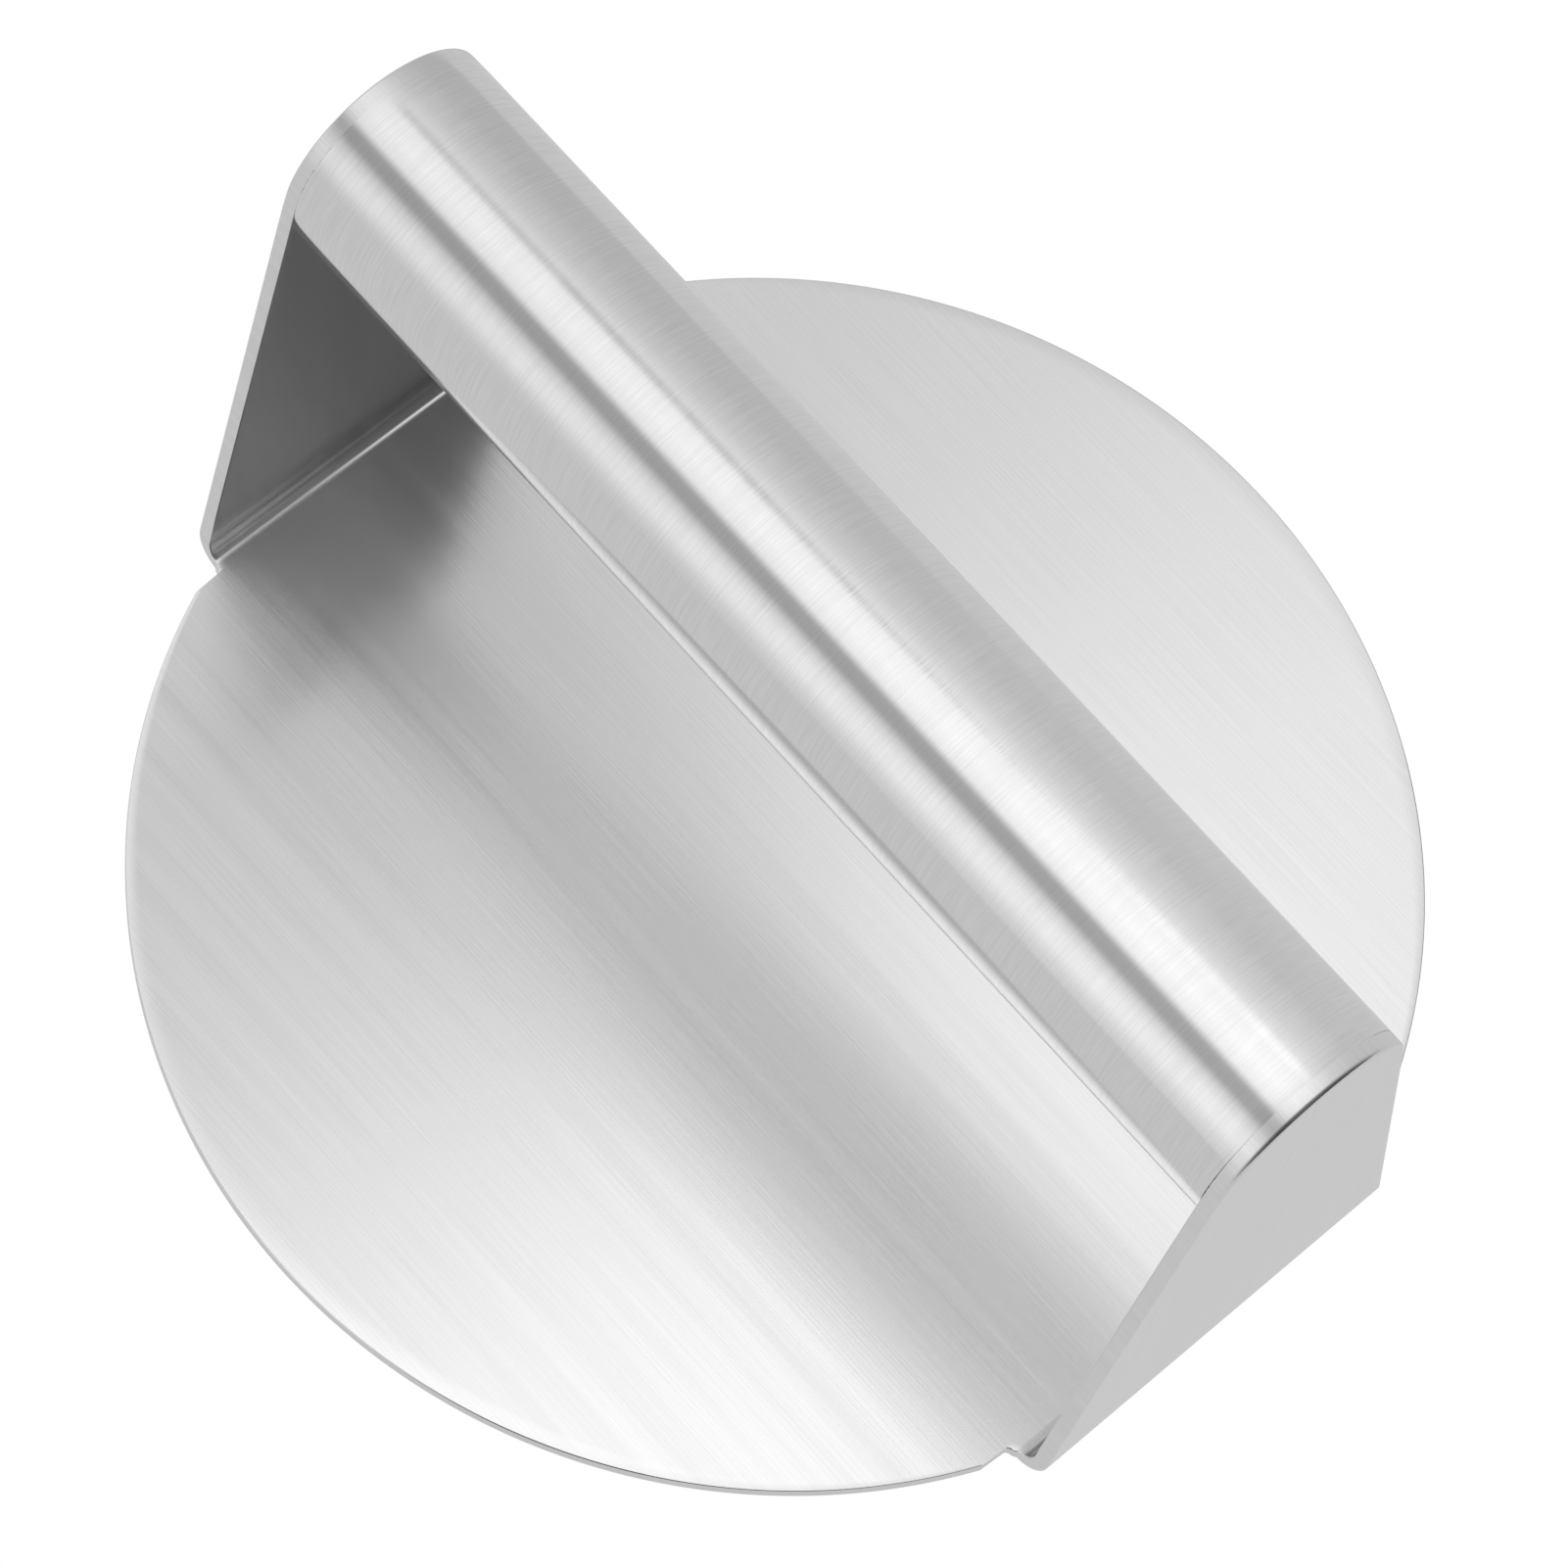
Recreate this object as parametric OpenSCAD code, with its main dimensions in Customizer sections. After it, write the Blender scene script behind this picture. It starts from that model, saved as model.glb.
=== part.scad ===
// Round griddle press: one bent steel blank with a welded round tube for a handle.
// The frame: X runs along the handle, Z is up, the pressing face lies on Z = 0.

/* [Press plate] */
// Diameter of the round pressing plate
plate_dia = 140; // [110:1:180]
// Thickness of the steel sheet that the plate and both side plates are bent from
sheet_thick = 1.8; // [1.2:0.1:3]
// Overall length over the outer faces of the two side plates
span = 137.6; // [100:0.2:139]
// Inside radius of the two bends
bend_radius = 2; // [1:0.1:4]

/* [Side plates] */
// Width of a side plate where it meets the plane of the pressing face
side_base_width = 49.4; // [40:0.2:60]
// Radius of the small relief between the round rim and a side plate
relief_radius = 1; // [0.6:0.1:3]

/* [Handle] */
// Outer diameter of the handle tube
tube_dia = 25; // [18:0.5:32]
// Wall of the handle tube
tube_wall = 1.2; // [0.8:0.1:2]
// Height of the tube's axis above the pressing face
tube_height = 65.3; // [45:0.1:90]

/* [Welds] */
// Width along the tube of the weld that is ground flush, at each end
weld_width = 1.6; // [0.8:0.1:3]
// Depth of that weld, from the tube's surface inwards
weld_depth = 0.7; // [0.3:0.05:0.75]
// Angle by which each weld reaches below the tube's middle height, on both sides
weld_wrap = 15; // [0:1:40]
// How far the round top edge of a side plate is ground down on its outer face
ground_edge = 0.7; // [0.2:0.1:1]

/* [Hidden] */
$fn = 96;
overrun = 1;

plate_r = plate_dia / 2;
tube_r = tube_dia / 2;
tube_bore_r = tube_r - tube_wall;
outer_face_x = span / 2;
inner_face_x = outer_face_x - sheet_thick;
outer_bend_r = bend_radius + sheet_thick;
bend_start_x = outer_face_x - outer_bend_r;
side_half = side_base_width / 2;

// A side plate's straight edges leave its base corners and end tangent to the round top.
edge_run = norm([side_half, tube_height]);
edge_lean = atan2(side_half, tube_height);
tangent_turn = asin(tube_r / edge_run);
edge_angle = edge_lean - tangent_turn;
tangent_y = tube_r * cos(edge_angle);
tangent_z = tube_height + tube_r * sin(edge_angle);

// Each weld reaches over the top of the tube and a little below its middle height.
weld_sweep = 180 + 2 * weld_wrap;

// The ground edge is a cone whose axis lies a little low, so that it fades out at the sides.
cone_sink = ground_edge;
cone_r = tube_r + cone_sink - ground_edge;
cone_reach = 2 * ground_edge;

// A relief sits beside each side plate's foot, clear of its edge by a tenth of its radius.
relief_y = side_half + 1.1 * relief_radius;

steel = [0.72, 0.72, 0.73];
weld_steel = [0.66, 0.66, 0.67];

// Outline of a side plate, seen along X: leaning edges and a round top.
module side_outline() {
    circle(r = tube_r);
    polygon([
        [-side_half, -tube_height],
        [side_half, -tube_height],
        [tangent_y, tangent_z - tube_height],
        [-tangent_y, tangent_z - tube_height]
    ]);
}

// The side plate's outline stood up in the YZ plane, thick enough to hold the bend too.
module upright_limits() {
    translate([bend_start_x, 0, tube_height])
        rotate([90, 0, 90])
            linear_extrude(height = outer_bend_r)
                side_outline();
}

// A quarter ring seen along Y: the sheet's own section round a bend.
module bend_section() {
    intersection() {
        difference() {
            circle(r = outer_bend_r);
            circle(r = bend_radius);
        }
        translate([0, -outer_bend_r])
            square(outer_bend_r);
    }
}

// The bend and the upright as one strip of sheet, as wide as the round plate.
module upright_strip() {
    translate([0, plate_r, 0])
        rotate([90, 0, 0])
            linear_extrude(height = plate_dia) {
                translate([bend_start_x, outer_bend_r])
                    bend_section();
                translate([inner_face_x, outer_bend_r])
                    square([sheet_thick, tube_height + tube_r - outer_bend_r]);
            }
}

// What grinding takes off the round top, above the tube's axis, on the outer face.
module ground_off() {
    difference() {
        translate([outer_face_x - cone_reach, -tube_dia, tube_height])
            cube([cone_reach + overrun, 2 * tube_dia, tube_dia]);
        translate([outer_face_x - cone_reach - overrun, 0, tube_height - cone_sink])
            rotate([0, 90, 0])
                cylinder(
                    h = cone_reach + 3 * overrun,
                    r1 = cone_r + cone_reach + overrun,
                    r2 = cone_r - 2 * overrun
                );
    }
}

// One side plate with its bend, at +X.
module side_plate() {
    difference() {
        intersection() {
            upright_strip();
            upright_limits();
        }
        ground_off();
    }
}

// The floor of the blank: a disc cut off where the bends start, joined by a band as wide as the
// side plates' feet, with a relief at each corner.
module round_floor() {
    difference() {
        union() {
            intersection() {
                cylinder(h = sheet_thick, r = plate_r);
                translate([-bend_start_x, -plate_r, 0])
                    cube([2 * bend_start_x, plate_dia, sheet_thick]);
            }
            translate([-bend_start_x, -side_half, 0])
                cube([2 * bend_start_x, side_base_width, sheet_thick]);
        }
        for (x = [-bend_start_x, bend_start_x], y = [-relief_y, relief_y])
            translate([x, y, -overrun])
                cylinder(h = sheet_thick + 2 * overrun, r = relief_radius);
    }
}

module press_plate() {
    color(steel)
        union() {
            round_floor();
            side_plate();
            rotate([0, 0, 180])
                side_plate();
        }
}

// The bevel on a tube end's outer edge, seen as radius and distance along the tube.
module bevel_section() {
    polygon([
        [tube_r, -weld_width],
        [tube_r, 0],
        [tube_r - weld_depth, 0]
    ]);
}

// What the bevel takes off the tube: the same triangle, run out past the surface and the end.
module bevel_cut() {
    translate([inner_face_x, 0, tube_height])
        rotate([0, 90, 0])
            rotate_extrude()
                polygon([
                    [tube_r - weld_depth, 0],
                    [tube_r, -weld_width],
                    [tube_r + overrun, -weld_width],
                    [tube_r + overrun, overrun],
                    [tube_r - weld_depth, overrun]
                ]);
}

module handle_tube() {
    color(steel)
        difference() {
            translate([-inner_face_x, 0, tube_height])
                rotate([0, 90, 0])
                    cylinder(h = 2 * inner_face_x, r = tube_r);
            translate([-inner_face_x - overrun, 0, tube_height])
                rotate([0, 90, 0])
                    cylinder(h = 2 * (inner_face_x + overrun), r = tube_bore_r);
            bevel_cut();
            rotate([0, 0, 180])
                bevel_cut();
        }
}

// The weld that fills the bevel over the top of the tube and is ground flush with it.
module end_weld() {
    translate([inner_face_x, 0, tube_height])
        rotate([0, 90, 0])
            rotate([0, 0, 90 - weld_wrap])
                rotate_extrude(angle = weld_sweep)
                    bevel_section();
}

module weld_right() {
    color(weld_steel)
        end_weld();
}

module weld_left() {
    color(weld_steel)
        rotate([0, 0, 180])
            end_weld();
}

press_plate();
handle_tube();
weld_right();
weld_left();
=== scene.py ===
"""Round griddle press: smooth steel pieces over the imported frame, with the studio that shows them."""

import math

import bmesh
import bpy
import numpy as np
from bpy.props import FloatProperty, PointerProperty
from mathutils import Matrix


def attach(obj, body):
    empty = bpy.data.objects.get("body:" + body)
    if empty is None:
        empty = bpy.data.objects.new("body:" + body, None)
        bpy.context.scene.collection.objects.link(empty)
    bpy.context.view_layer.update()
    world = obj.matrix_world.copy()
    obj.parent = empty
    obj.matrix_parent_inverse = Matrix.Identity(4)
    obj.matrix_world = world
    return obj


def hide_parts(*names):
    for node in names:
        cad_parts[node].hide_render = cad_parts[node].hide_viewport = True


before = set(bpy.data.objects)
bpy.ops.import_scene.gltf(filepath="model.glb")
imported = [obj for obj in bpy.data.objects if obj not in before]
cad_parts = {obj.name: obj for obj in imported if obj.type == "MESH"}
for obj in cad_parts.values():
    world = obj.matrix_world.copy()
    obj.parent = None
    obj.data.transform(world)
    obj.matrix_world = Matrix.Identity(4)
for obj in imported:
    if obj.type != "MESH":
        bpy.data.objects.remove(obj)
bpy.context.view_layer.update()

bl_info = {
    "name": "Griddle Press",
    "version": (1, 0, 0),
    "blender": (4, 5, 0),
    "location": "View3D > Sidebar > Press",
    "description": "Builds the griddle press's steel pieces and its studio",
    "category": "Object",
}

MM = 0.001
MERGE = MM / 1000
THINNEST = MM / 10000

# The real sizes, as in the part's own source.
PLATE_R = 70.0 * MM
SHEET = 1.8 * MM
OUTER_X = 68.8 * MM
BEND_IN = 2.0 * MM
FOOT_HALF = 24.7 * MM
RELIEF_R = 1.0 * MM
TUBE_R = 12.5 * MM
AXIS_Z = 65.3 * MM
WELD_WIDE = 1.6 * MM
WELD_DEEP = 0.7 * MM
WELD_WRAP = math.radians(15)
INNER_X = OUTER_X - SHEET
BEND_OUT = BEND_IN + SHEET
BEND_X = OUTER_X - BEND_OUT
LEAN = math.atan2(FOOT_HALF, AXIS_Z) - math.asin(TUBE_R / math.hypot(FOOT_HALF, AXIS_Z))
TANGENT_Z = AXIS_Z + TUBE_R * math.sin(LEAN)
RELIEF_SHARE = 1.1
RELIEF_Y = FOOT_HALF + RELIEF_SHARE * RELIEF_R

# How finely the surfaces are drawn.
RIM_STEPS = 160
BEND_STEPS = 14
SIDE_STEPS = 24
TOP_STEPS = 40
CORNER_STEPS = 7
THICK_STEPS = 8
ROUND_STEPS = 160
END_STEPS = 26
LONG_STEPS = 24
SHARP = math.radians(18)
ACROSS = (-0.97, -0.6, 0.0, 0.6, 0.97)

# Grinding: how far from the outer face it starts, and where round the top it fades in.
GRIND_REACH = 4.6 * MM
FADE_LOW = 0.12
FADE_HIGH = 0.8

# The photo's camera, fitted to the outline.
CAMERA_PLACE = (149.76 * MM, -195.14 * MM, 610.17 * MM)
CAMERA_RIGHT = (0.65814, 0.74878, 0.07865)
CAMERA_DOWN = (0.71471, -0.58849, -0.37797)
CAMERA_AHEAD = (-0.23673, 0.30497, -0.92247)
CAMERA_LENS = 140.24
CAMERA_SHIFT = (0.0007, 0.0006)

HALF_TURN = 180.0

# The studio: light round the handle's axis, as (angle in degrees, level). The levels were worked
# out from how light the tube looks across its width.
BANDS = (
    (-180, 0.68), (-160, 0.70), (-128, 0.60), (-100, 0.46), (-60, 0.50), (-26, 0.62), (2, 0.56),
    (29, 0.57), (56, 0.7), (69, 0.84), (76, 0.98), (85, 1.05), (99, 1.10), (114, 0.98), (121, 0.42),
    (132, 0.40), (140, 0.74), (150, 0.93), (161, 0.94), (174, 0.74),
)
# How the light changes along the handle, as (direction along X, share of the level).
SIDES = ((-0.34, 0.78), (-0.27, 0.86), (-0.2, 0.98), (-0.13, 1.0), (-0.02, 0.94), (0.08, 0.8), (0.2, 0.1))
SIDE_PEAK = 1.12
# Soft lights and shades in the studio: (direction), reach and share of the level.
LOBES = (((-0.184, 0.231, 0.955), 0.14, 1.4), ((-0.285, 0.232, 0.93), 0.135, 0.34))
FLOOR_HALF = 1.5
FLOOR_DROP = 0.2 * MM

# The steel: its tone, how far the highlight is drawn out, and the noise that makes the grain.
STEEL_TONE = 0.84
DRAWN_OUT = 0.75
QUARTER_TURN = 0.25
FINE_DETAIL = 3.0
BROAD_SCALE = 0.09
BROAD_DETAIL = 2.0
NOISE_LOW = 0.25
NOISE_HIGH = 0.75
ROUGH_SPREAD = 0.25
BUMP_DEEP = MM / 20

# Roughness, grain along and round per metre, the highlight's turn, tone contrast and bump.
PLATE_FINISH = (0.2, (45.0, 4200.0), QUARTER_TURN, 0.035, 0.09)
TUBE_FINISH = (0.16, (3600.0, 160.0), 0.0, 0.05, 0.1)
WELD_FINISH = (0.16, (160.0, 3600.0), QUARTER_TURN, 0.05, 0.1)


def smooth_step(low, high, value):
    """Rises from 0 at low to 1 at high with no kink at either end."""
    share = np.clip((value - low) / (high - low), 0.0, 1.0)
    return share * share * (3.0 - 2.0 * share)


def ground(points, drop, corner):
    """Points above the tube's axis are pulled in to the ground limit: the tube's radius less a
    square rise of the drop towards each outer face, less a round corner at the face itself."""
    x, y, z = np.abs(points[..., 0]), points[..., 1], points[..., 2] - AXIS_Z
    reach = np.hypot(y, z)
    rise = np.divide(z, reach, out=np.zeros_like(z), where=reach > 0)
    share = np.clip((x - OUTER_X + GRIND_REACH) / GRIND_REACH, 0.0, 1.0)
    short = np.clip(corner - (OUTER_X - x), 0.0, corner)
    round_off = corner - np.sqrt(corner**2 - short**2)
    limit = TUBE_R - smooth_step(FADE_LOW, FADE_HIGH, rise) * drop * share**2
    limit = limit - smooth_step(0.0, FADE_LOW, rise) * round_off
    scale = np.where((z > 0) & (reach > limit), limit / np.maximum(reach, limit), 1.0)
    out = points.copy()
    out[..., 1] = y * scale
    out[..., 2] = AXIS_Z + z * scale
    return out


def blank_line():
    """The blank's own middle line from its centre to one top: a straight floor, a quarter circle
    and an upright, as centre, normal, half width and run at every step."""
    turn = np.linspace(0.0, math.asin(BEND_X / PLATE_R), RIM_STEPS)
    x = PLATE_R * np.sin(turn)
    notch = RELIEF_R**2 - (x - BEND_X) ** 2
    cut = np.where(notch > 0, RELIEF_Y - np.sqrt(np.maximum(notch, 0.0)), PLATE_R)
    rim = np.minimum(np.sqrt(PLATE_R**2 - x**2), cut)
    flat = np.full_like(x, SHEET / 2)
    bend = np.linspace(0.0, math.pi / 2, BEND_STEPS)[1:]
    middle = BEND_IN + SHEET / 2
    bend_x, bend_z = BEND_X + middle * np.sin(bend), BEND_OUT - middle * np.cos(bend)
    rise = np.linspace(BEND_OUT, TANGENT_Z, SIDE_STEPS)[1:]
    over = np.linspace(LEAN, math.pi / 2, TOP_STEPS)[1:]
    top_z = AXIS_Z + TUBE_R * np.sin(over)
    z = np.concatenate([flat, bend_z, rise, top_z])
    side_x = np.full(len(rise) + len(over), OUTER_X - SHEET / 2)
    place = np.stack([np.concatenate([x, bend_x, side_x]), z], axis=1)
    lean = np.concatenate([np.zeros_like(x), bend, np.full_like(side_x, math.pi / 2)])
    normal = np.stack([-np.sin(lean), np.cos(lean)], axis=1)
    foot = FOOT_HALF - np.concatenate([bend_z, rise]) * math.tan(LEAN)
    half = np.concatenate([rim, foot, TUBE_R * np.cos(over)])
    half[-1] = 0.0
    run = np.concatenate([[0.0], np.cumsum(np.hypot(*np.diff(place, axis=0).T))])
    return place, normal, half, run


def sheet_loop(edge):
    """A rounded rectangle round the sheet's section, as the share of the half width, the inset
    from it and the height, in order round the loop."""
    half = SHEET / 2
    turn = np.linspace(0.0, math.pi / 2, CORNER_STEPS)
    across = np.array(ACROSS)
    down = np.linspace(1.0, -1.0, THICK_STEPS)[1:-1] * (half - edge)
    share, inset, height = [], [], []
    for side in (1, -1):
        share += list(side * across)
        inset += [edge] * len(across)
        height += [side * half] * len(across)
        share += [side] * CORNER_STEPS
        inset += list(edge * (1.0 - np.sin(turn)))
        height += list(side * (half - edge + edge * np.cos(turn)))
        share += [side] * len(down)
        inset += [0.0] * len(down)
        height += list(side * down)
        share += [side] * CORNER_STEPS
        inset += list(edge * (1.0 - np.cos(turn)))
        height += list(-side * (half - edge + edge * np.sin(turn)))
    return np.array(share), np.array(inset), np.array(height)


def plate_surface(edge, drop, corner):
    """The bent blank: the rounded rectangle is carried along the blank's middle line, as wide as
    the outline there, and the tops are ground."""
    place, normal, half, run = blank_line()
    place = np.concatenate([place[:0:-1] * (-1, 1), place])
    normal = np.concatenate([normal[:0:-1] * (-1, 1), normal])
    half = np.concatenate([half[:0:-1], half])
    run = np.concatenate([-run[:0:-1], run])
    share, inset, height = sheet_loop(edge)
    y = share * np.maximum(half[:, None] - inset, 0.0)
    x = place[:, :1] + normal[:, :1] * height
    z = place[:, 1:] + normal[:, 1:] * height
    points = ground(np.stack([x, y, z], axis=2), drop, corner)
    return points, np.broadcast_to(run[:, None], y.shape), points[..., 1]


def tube_line():
    """Places along the tube, close together near the ends where it is ground and bevelled."""
    near = np.linspace(INNER_X - 2 * GRIND_REACH, INNER_X - WELD_WIDE, END_STEPS)
    bevel = np.linspace(INNER_X - WELD_WIDE, INNER_X, CORNER_STEPS)[1:]
    middle = np.linspace(0.0, INNER_X - 2 * GRIND_REACH, LONG_STEPS)[:-1]
    half = np.concatenate([middle, near, bevel])
    return np.concatenate([-half[:0:-1], half])


def round_grid(x, radius, turn):
    """A point at every place along X and every angle round the tube's axis, at that radius."""
    x, radius = np.broadcast_arrays(x[:, None], radius)
    y = radius * np.cos(turn)
    return np.stack([np.broadcast_to(x, y.shape), y, AXIS_Z + radius * np.sin(turn)], axis=2)


def tube_surface(drop, corner):
    """The closed tube: a straight round wall with a bevel at each end, and a flat end face that
    runs in to the axis."""
    x = tube_line()
    slope = np.clip((np.abs(x) - INNER_X + WELD_WIDE) / WELD_WIDE, 0.0, 1.0)
    radius = TUBE_R - WELD_DEEP * slope
    x = np.concatenate([[x[0]], x, [x[-1]]])
    radius = np.concatenate([[0.0], radius, [0.0]])
    turn = np.linspace(0.0, 2 * math.pi, ROUND_STEPS, endpoint=False)
    points = ground(round_grid(x, radius[:, None], turn), drop, corner)
    return points, *np.meshgrid(x, turn * TUBE_R, indexing="ij")


def weld_surface(side, drop, corner):
    """One weld: the bevel's triangle, carried over the top of the tube and closed at both ends."""
    turn = np.linspace(-WELD_WRAP, math.pi + WELD_WRAP, ROUND_STEPS)
    slope = np.linspace(0.0, 1.0, CORNER_STEPS)
    x = np.concatenate([INNER_X - WELD_WIDE * (1 - slope), INNER_X - WELD_WIDE * slope[1:-1]])
    radius = np.concatenate([np.full(CORNER_STEPS, TUBE_R), TUBE_R - WELD_DEEP * (1 - slope[1:-1])])
    x = np.concatenate([x[:CORNER_STEPS], [INNER_X], x[CORNER_STEPS:]])
    radius = np.concatenate([radius[:CORNER_STEPS], [TUBE_R - WELD_DEEP], radius[CORNER_STEPS:]])
    points = round_grid(side * x, radius[:, None], turn).transpose(1, 0, 2)
    middle = points.mean(axis=1, keepdims=True)
    first, last = np.repeat(middle[:1], len(x), axis=1), np.repeat(middle[-1:], len(x), axis=1)
    points = np.concatenate([first, points, last])
    turn = np.concatenate([turn[:1], turn, turn[-1:]])
    points = ground(points, drop, corner)
    return points, *np.meshgrid(turn * TUBE_R, x, indexing="ij")


def closed_mesh(name, points, along, around, full_turn=False):
    """A mesh from rows of points, each row a closed loop. Rows that shrink to a point or a line
    close the ends, and the UV map holds the runs along and round, in metres."""
    rows, cols = points.shape[:2]
    index = np.arange(rows * cols).reshape(rows, cols)
    after = np.roll(index, -1, axis=1)
    quads = np.stack([index[:-1], after[:-1], after[1:], index[1:]], axis=2).reshape(-1, 4)
    wrap = around[:, -1:] + around[:, -1:] - around[:, -2:-1]
    along = np.concatenate([along, along[:, :1]], axis=1)
    around = np.concatenate([around, wrap if full_turn else around[:, :1]], axis=1)
    uv = np.stack([along, around], axis=2)
    corners = np.stack([uv[:-1, :-1], uv[:-1, 1:], uv[1:, 1:], uv[1:, :-1]], axis=2)
    mesh = bpy.data.meshes.new(name)
    mesh.from_pydata(points.reshape(-1, 3).tolist(), [], quads.tolist())
    layer = mesh.uv_layers.new(name="UVMap")
    layer.data.foreach_set("uv", corners.reshape(-1))
    mesh.polygons.foreach_set("use_smooth", np.ones(len(quads), dtype=bool))
    mesh.update()
    obj = bpy.data.objects.new(name, mesh)
    bpy.context.scene.collection.objects.link(obj)
    weld_poles(obj)
    return obj


def weld_poles(obj):
    """Joins points that lie on one another, so that the ends are closed, and turns faces outward."""
    work = bmesh.new()
    work.from_mesh(obj.data)
    bmesh.ops.remove_doubles(work, verts=work.verts, dist=MERGE)
    bmesh.ops.dissolve_degenerate(work, edges=work.edges, dist=THINNEST)
    bmesh.ops.recalc_face_normals(work, faces=work.faces)
    work.to_mesh(obj.data)
    work.free()
    obj.data.set_sharp_from_angle(angle=SHARP)
    obj.data.update()


def grain_group():
    """Node group: brushed grain. Takes a stretched vector, gives a mask of fine streaks and one of
    broad patches, both round a half."""
    if "Grain" in bpy.data.node_groups:
        return bpy.data.node_groups["Grain"]
    group = bpy.data.node_groups.new("Grain", "ShaderNodeTree")
    group.interface.new_socket("Vector", in_out="INPUT", socket_type="NodeSocketVector")
    group.interface.new_socket("Mask", in_out="OUTPUT", socket_type="NodeSocketFloat")
    group.interface.new_socket("Patch", in_out="OUTPUT", socket_type="NodeSocketFloat")
    start, end = group.nodes.new("NodeGroupInput"), group.nodes.new("NodeGroupOutput")
    fine = group.nodes.new("ShaderNodeTexNoise")
    fine.inputs["Scale"].default_value = 1.0
    fine.inputs["Detail"].default_value = FINE_DETAIL
    broad = group.nodes.new("ShaderNodeTexNoise")
    broad.inputs["Scale"].default_value = BROAD_SCALE
    broad.inputs["Detail"].default_value = BROAD_DETAIL
    group.links.new(start.outputs["Vector"], fine.inputs["Vector"])
    group.links.new(start.outputs["Vector"], broad.inputs["Vector"])
    group.links.new(fine.outputs["Fac"], end.inputs["Mask"])
    group.links.new(broad.outputs["Fac"], end.inputs["Patch"])
    return group


def steel(name, rough, grain, turn, contrast, height):
    """Brushed steel: a metal whose roughness, tone and bump follow the grain, with its highlight
    drawn out across it. grain is the streaks' frequency along and round, per metre."""
    material = bpy.data.materials.new(name)
    material.use_nodes = True
    nodes, links = material.node_tree.nodes, material.node_tree.links
    shader = nodes["Principled BSDF"]
    shader.inputs["Metallic"].default_value = 1.0
    shader.inputs["Anisotropic"].default_value = DRAWN_OUT
    shader.inputs["Anisotropic Rotation"].default_value = turn
    uv = nodes.new("ShaderNodeTexCoord")
    stretch = nodes.new("ShaderNodeVectorMath")
    stretch.operation = "MULTIPLY"
    stretch.inputs[1].default_value = (*grain, 0.0)
    streaks = nodes.new("ShaderNodeGroup")
    streaks.node_tree = grain_group()
    tone = nodes.new("ShaderNodeMapRange")
    tone.inputs["From Min"].default_value = NOISE_LOW
    tone.inputs["From Max"].default_value = NOISE_HIGH
    tone.inputs["To Min"].default_value = STEEL_TONE * (1 - contrast)
    tone.inputs["To Max"].default_value = STEEL_TONE * (1 + contrast)
    spread = nodes.new("ShaderNodeMapRange")
    spread.inputs["To Min"].default_value = rough * (1 - ROUGH_SPREAD)
    spread.inputs["To Max"].default_value = rough * (1 + ROUGH_SPREAD)
    grey = nodes.new("ShaderNodeCombineColor")
    bump = nodes.new("ShaderNodeBump")
    bump.inputs["Strength"].default_value = height
    bump.inputs["Distance"].default_value = BUMP_DEEP
    tangent = nodes.new("ShaderNodeTangent")
    tangent.direction_type = "UV_MAP"
    tangent.uv_map = "UVMap"
    links.new(uv.outputs["UV"], stretch.inputs[0])
    links.new(stretch.outputs["Vector"], streaks.inputs["Vector"])
    links.new(streaks.outputs["Mask"], tone.inputs["Value"])
    links.new(streaks.outputs["Patch"], spread.inputs["Value"])
    for channel in ("Red", "Green", "Blue"):
        links.new(tone.outputs["Result"], grey.inputs[channel])
    links.new(grey.outputs["Color"], shader.inputs["Base Color"])
    links.new(spread.outputs["Result"], shader.inputs["Roughness"])
    links.new(streaks.outputs["Mask"], bump.inputs["Height"])
    links.new(bump.outputs["Normal"], shader.inputs["Normal"])
    links.new(tangent.outputs["Tangent"], shader.inputs["Tangent"])
    return material


def finish_piece(obj, material, node):
    """Gives a piece its material and ties it to the frame."""
    obj.data.materials.append(material)
    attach(obj, "root")
    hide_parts(node)


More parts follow.
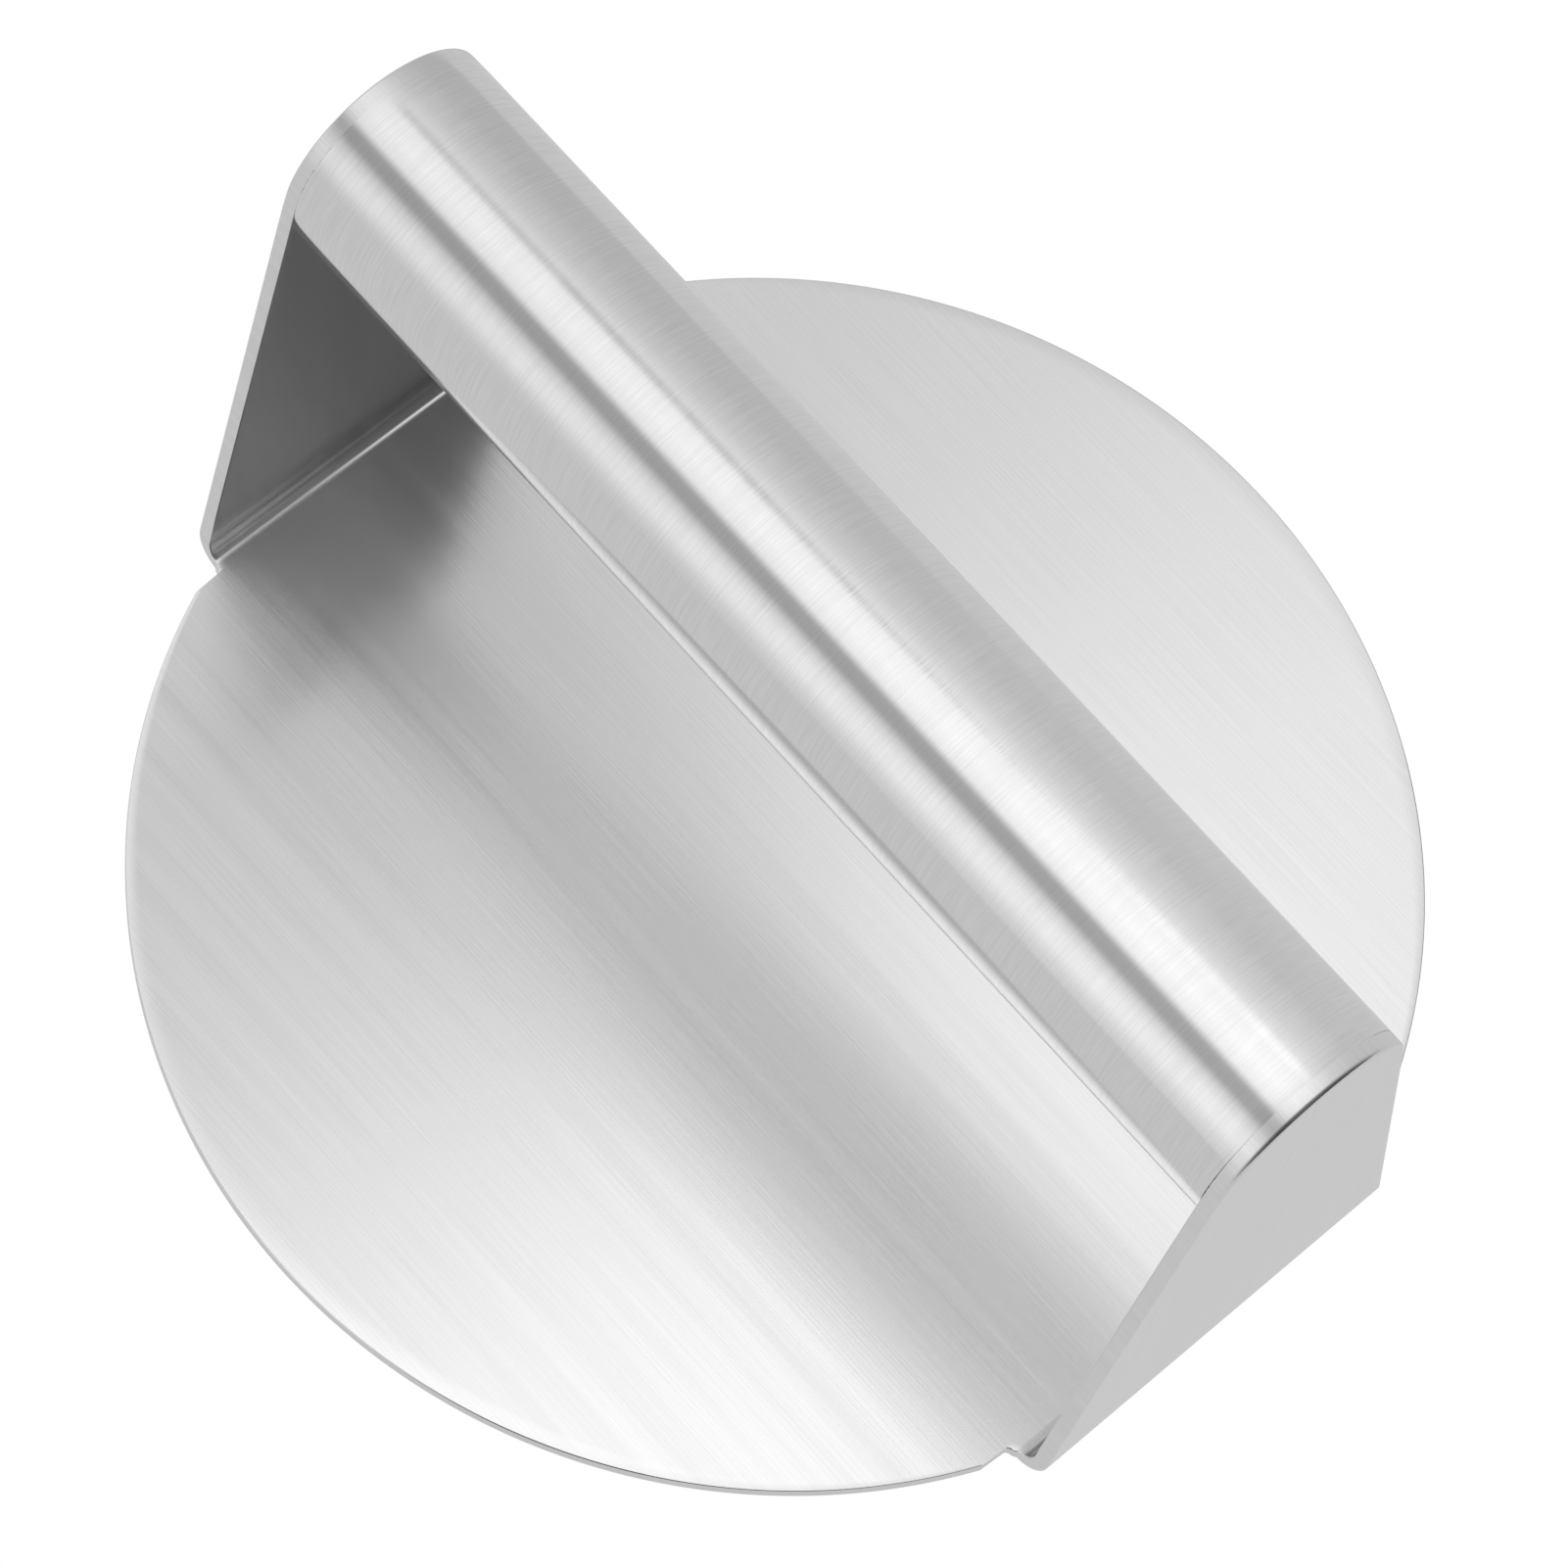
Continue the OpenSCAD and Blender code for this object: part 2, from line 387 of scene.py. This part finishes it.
def studio_world():
    """The world: white to the camera, and bands of light round the handle's axis to everything
    else, dimmer towards the near side plate."""
    world = bpy.data.worlds.new("Studio")
    bpy.context.scene.world = world
    world.use_nodes = True
    nodes, links = world.node_tree.nodes, world.node_tree.links
    nodes.clear()
    place = nodes.new("ShaderNodeTexCoord")
    split = nodes.new("ShaderNodeSeparateXYZ")
    angle = nodes.new("ShaderNodeMath")
    angle.operation = "ARCTAN2"
    share = nodes.new("ShaderNodeMapRange")
    share.inputs["From Min"].default_value = -math.pi
    share.inputs["From Max"].default_value = math.pi
    ramp = nodes.new("ShaderNodeValToRGB")
    ramp.color_ramp.interpolation = "LINEAR"
    stops = ramp.color_ramp.elements
    top = max(level for _, level in BANDS)
    for k, (degrees, level) in enumerate(BANDS):
        spot = (degrees + HALF_TURN) / (2 * HALF_TURN)
        stop = stops[0] if k == 0 else stops.new(spot)
        stop.position = spot
        stop.color = (level / top,) * 3 + (1.0,)
    stops[len(stops) - 1].position = 1.0
    stops[len(stops) - 1].color = (BANDS[0][1] / top,) * 3 + (1.0,)
    side = nodes.new("ShaderNodeMapRange")
    side.inputs["From Min"].default_value = -1.0
    dim = nodes.new("ShaderNodeValToRGB")
    dim.color_ramp.interpolation = "EASE"
    for k, (across, share_of) in enumerate(SIDES):
        spot = (across + 1.0) / 2.0
        stop = dim.color_ramp.elements[0] if k == 0 else dim.color_ramp.elements.new(spot)
        stop.position = spot
        stop.color = (share_of,) * 3 + (1.0,)
    dim.color_ramp.elements.remove(dim.color_ramp.elements[-1])
    full = nodes.new("ShaderNodeMath")
    full.operation = "MULTIPLY"
    full.inputs[1].default_value = top * SIDE_PEAK
    links.new(dim.outputs["Color"], full.inputs[0])
    strength = full.outputs["Value"]
    for middle, reach, gain in LOBES:
        away, lobe = nodes.new("ShaderNodeVectorMath"), nodes.new("ShaderNodeMapRange")
        away.operation = "DISTANCE"
        away.inputs[1].default_value = middle
        lobe.interpolation_type = "SMOOTHSTEP"
        lobe.inputs["From Max"].default_value = reach
        lobe.inputs["To Min"].default_value = gain
        lobe.inputs["To Max"].default_value = 1.0
        times = nodes.new("ShaderNodeMath")
        times.operation = "MULTIPLY"
        links.new(place.outputs["Generated"], away.inputs[0])
        links.new(away.outputs["Value"], lobe.inputs["Value"])
        links.new(strength, times.inputs[0])
        links.new(lobe.outputs["Result"], times.inputs[1])
        strength = times.outputs["Value"]
    studio, white = nodes.new("ShaderNodeBackground"), nodes.new("ShaderNodeBackground")
    white.inputs["Color"].default_value = (1.0, 1.0, 1.0, 1.0)
    ray, mix = nodes.new("ShaderNodeLightPath"), nodes.new("ShaderNodeMixShader")
    out = nodes.new("ShaderNodeOutputWorld")
    links.new(place.outputs["Generated"], split.inputs["Vector"])
    links.new(split.outputs["Z"], angle.inputs[0])
    links.new(split.outputs["Y"], angle.inputs[1])
    links.new(angle.outputs["Value"], share.inputs["Value"])
    links.new(share.outputs["Result"], ramp.inputs["Fac"])
    links.new(split.outputs["X"], side.inputs["Value"])
    links.new(side.outputs["Result"], dim.inputs["Fac"])
    links.new(ramp.outputs["Color"], studio.inputs["Color"])
    links.new(strength, studio.inputs["Strength"])
    links.new(ray.outputs["Is Camera Ray"], mix.inputs["Fac"])
    links.new(studio.outputs["Background"], mix.inputs[1])
    links.new(white.outputs["Background"], mix.inputs[2])
    links.new(mix.outputs["Shader"], out.inputs["Surface"])


def floor_piece(level):
    """A wide flat floor: white to the camera, a pale grey to everything that it lights."""
    corners = [(-1, -1), (1, -1), (1, 1), (-1, 1)]
    points = [(FLOOR_HALF * x, FLOOR_HALF * y, -FLOOR_DROP) for x, y in corners]
    mesh = bpy.data.meshes.new("Floor")
    mesh.from_pydata(points, [], [(0, 1, 2, 3)])
    obj = bpy.data.objects.new("floor", mesh)
    bpy.context.scene.collection.objects.link(obj)
    material = bpy.data.materials.new("Floor")
    material.use_nodes = True
    nodes, links = material.node_tree.nodes, material.node_tree.links
    nodes.clear()
    pale, white = nodes.new("ShaderNodeEmission"), nodes.new("ShaderNodeEmission")
    pale.inputs["Color"].default_value = (level, level, level, 1.0)
    ray, mix = nodes.new("ShaderNodeLightPath"), nodes.new("ShaderNodeMixShader")
    out = nodes.new("ShaderNodeOutputMaterial")
    links.new(ray.outputs["Is Camera Ray"], mix.inputs["Fac"])
    links.new(pale.outputs["Emission"], mix.inputs[1])
    links.new(white.outputs["Emission"], mix.inputs[2])
    links.new(mix.outputs["Shader"], out.inputs["Surface"])
    mesh.materials.append(material)


def photo_camera():
    """The camera at the photo's own place and angle."""
    data = bpy.data.cameras.new("Camera")
    data.lens = CAMERA_LENS
    data.shift_x, data.shift_y = CAMERA_SHIFT
    camera = bpy.data.objects.new("camera", data)
    right, up = np.array(CAMERA_RIGHT), -np.array(CAMERA_DOWN)
    turn = np.stack([right, up, -np.array(CAMERA_AHEAD), np.array(CAMERA_PLACE)], axis=1)
    camera.matrix_world = Matrix(turn.tolist() + [[0.0, 0.0, 0.0, 1.0]])
    bpy.context.scene.collection.objects.link(camera)
    bpy.context.scene.camera = camera
    bpy.context.scene.view_settings.view_transform = "Standard"


class PressSettings(bpy.types.PropertyGroup):
    edge: FloatProperty(
        name="Edge", description="Radius of the sheet's broken edges", default=0.22 * MM,
        subtype="DISTANCE", unit="LENGTH", precision=5,
    )
    drop: FloatProperty(
        name="Ground drop", description="How far grinding lowers the tops at the outer faces",
        default=0.25 * MM, subtype="DISTANCE", unit="LENGTH", precision=5,
    )
    corner: FloatProperty(
        name="Ground corner", description="Radius of the ground corner at the outer faces",
        default=0.35 * MM, subtype="DISTANCE", unit="LENGTH", precision=5,
    )
    floor_level: FloatProperty(
        name="Floor level", description="How light the floor looks in the steel", default=0.62,
        subtype="FACTOR",
    )


class PRESS_OT_plate(bpy.types.Operator):
    """Adds the bent blank: the round plate and its two side plates"""

    bl_idname = "press.add_plate"
    bl_label = "Add press plate"

    def execute(self, context):
        press = context.scene.press
        obj = closed_mesh("plate_piece", *plate_surface(press.edge, press.drop, press.corner))
        material = steel("Plate steel", *PLATE_FINISH)
        finish_piece(obj, material, "press_plate")
        return {"FINISHED"}


class PRESS_OT_handle(bpy.types.Operator):
    """Adds the handle tube"""

    bl_idname = "press.add_handle"
    bl_label = "Add handle tube"

    def execute(self, context):
        press = context.scene.press
        obj = closed_mesh("handle_piece", *tube_surface(press.drop, press.corner), full_turn=True)
        material = steel("Tube steel", *TUBE_FINISH)
        finish_piece(obj, material, "handle_tube")
        return {"FINISHED"}


class PRESS_OT_welds(bpy.types.Operator):
    """Adds the two welds, ground flush"""

    bl_idname = "press.add_welds"
    bl_label = "Add welds"

    def execute(self, context):
        press = context.scene.press
        material = steel("Weld steel", *WELD_FINISH)
        for side, node in ((1, "weld_right"), (-1, "weld_left")):
            surface = weld_surface(side, press.drop, press.corner)
            obj = closed_mesh(node + "_piece", *surface)
            finish_piece(obj, material, node)
        return {"FINISHED"}


class PRESS_OT_stage(bpy.types.Operator):
    """Adds the floor, the studio light and the photo's camera"""

    bl_idname = "press.add_stage"
    bl_label = "Add stage"

    def execute(self, context):
        floor_piece(context.scene.press.floor_level)
        studio_world()
        photo_camera()
        return {"FINISHED"}


class PRESS_PT_panel(bpy.types.Panel):
    bl_label = "Griddle Press"
    bl_space_type = "VIEW_3D"
    bl_region_type = "UI"
    bl_category = "Press"

    def draw(self, context):
        press = context.scene.press
        for name in ("edge", "drop", "corner", "floor_level"):
            self.layout.prop(press, name)
        for operator in OPERATORS:
            self.layout.operator(operator.bl_idname)


OPERATORS = (PRESS_OT_plate, PRESS_OT_handle, PRESS_OT_welds, PRESS_OT_stage)
CLASSES = (PressSettings, *OPERATORS, PRESS_PT_panel)


def register():
    for cls in CLASSES:
        bpy.utils.register_class(cls)
    bpy.types.Scene.press = PointerProperty(type=PressSettings)


def unregister():
    del bpy.types.Scene.press
    for cls in reversed(CLASSES):
        bpy.utils.unregister_class(cls)


def main():
    register()
    bpy.ops.press.add_plate()
    bpy.ops.press.add_handle()
    bpy.ops.press.add_welds()
    bpy.ops.press.add_stage()


if __name__ == "__main__":
    main()
